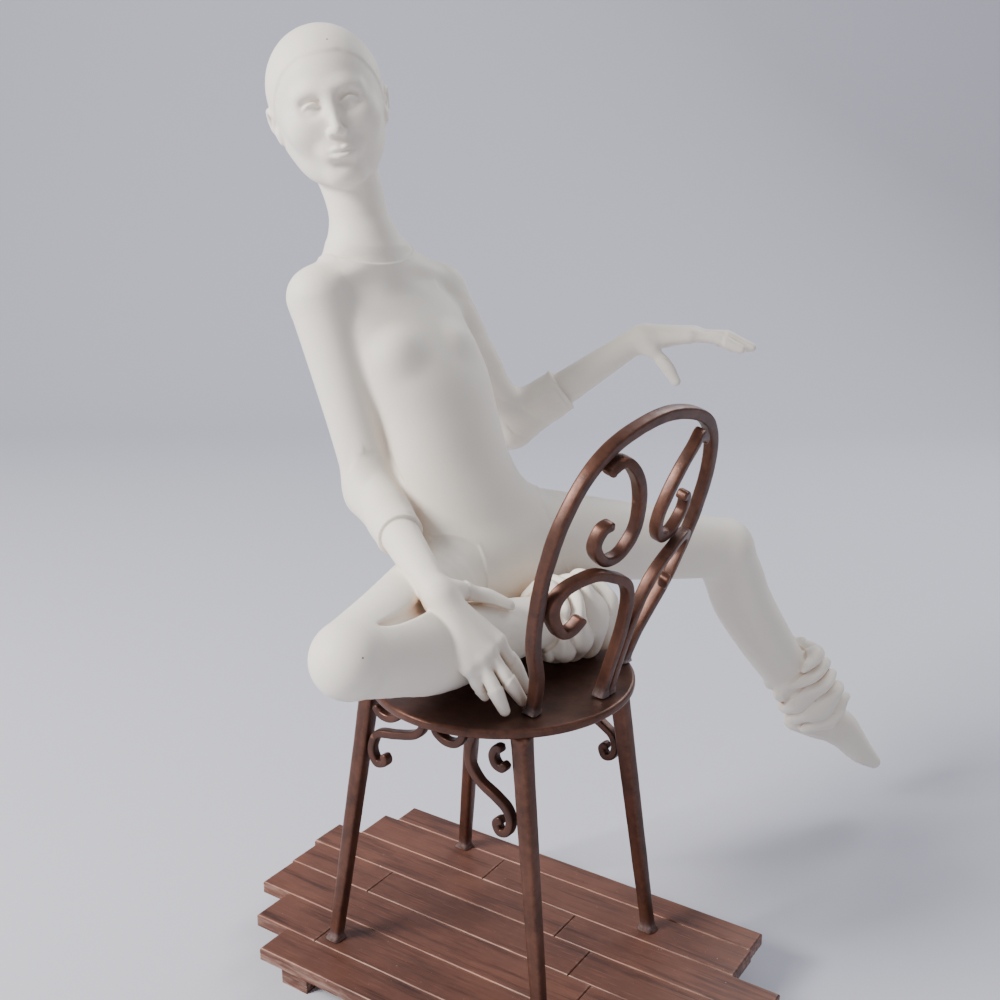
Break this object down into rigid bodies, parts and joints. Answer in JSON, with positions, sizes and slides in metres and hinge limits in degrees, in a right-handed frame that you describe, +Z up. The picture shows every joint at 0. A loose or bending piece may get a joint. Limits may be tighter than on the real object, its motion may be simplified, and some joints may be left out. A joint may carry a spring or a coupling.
{
  "type": "porcelain dancer figurine",
  "caption": "Porcelain dancer in leotard and leg warmers, straddling a scroll-backed metal cafe chair on a small cast plank floor.",
  "frame": {"origin": "on the underside of the middle runner, under the axis of the round seat", "axes": "+Z up, +X along the planks from the chair's front to its back, +Y to the side that the dancer's left leg reaches"},
  "size_m": [0.2037, 0.2788, 0.3373],
  "materials": {
    "porcelain": "unglazed bisque, warm white, smooth and matt",
    "bronze": "chocolate-brown patinated bronze, satin, rubbed coppery on the edges",
    "floor": "brown patinated cast bronze with wood grain, rubbed bright along the joints"
  },
  "bodies": {
    "root": {"dancer": "porcelain", "seat": "bronze", "leg_front_left": "bronze", "leg_front_right": "bronze", "leg_rear_left": "bronze", "leg_rear_right": "bronze", "back_hoop": "bronze", "back_scroll_left": "bronze", "back_scroll_right": "bronze", "back_cane_left": "bronze", "back_cane_right": "bronze", "apron_front_bracket_left": "bronze", "apron_front_bracket_right": "bronze", "apron_front_curl_left": "bronze", "apron_front_curl_right": "bronze", "apron_middle_loop_left": "bronze", "apron_middle_loop_right": "bronze", "apron_rear_bracket_left": "bronze", "apron_rear_bracket_right": "bronze", "apron_rear_curl_left": "bronze", "apron_rear_curl_right": "bronze", "floor_slab": "floor", "runner_left": "floor", "runner_middle": "floor", "runner_right": "floor"}
  },
  "joints": []
}
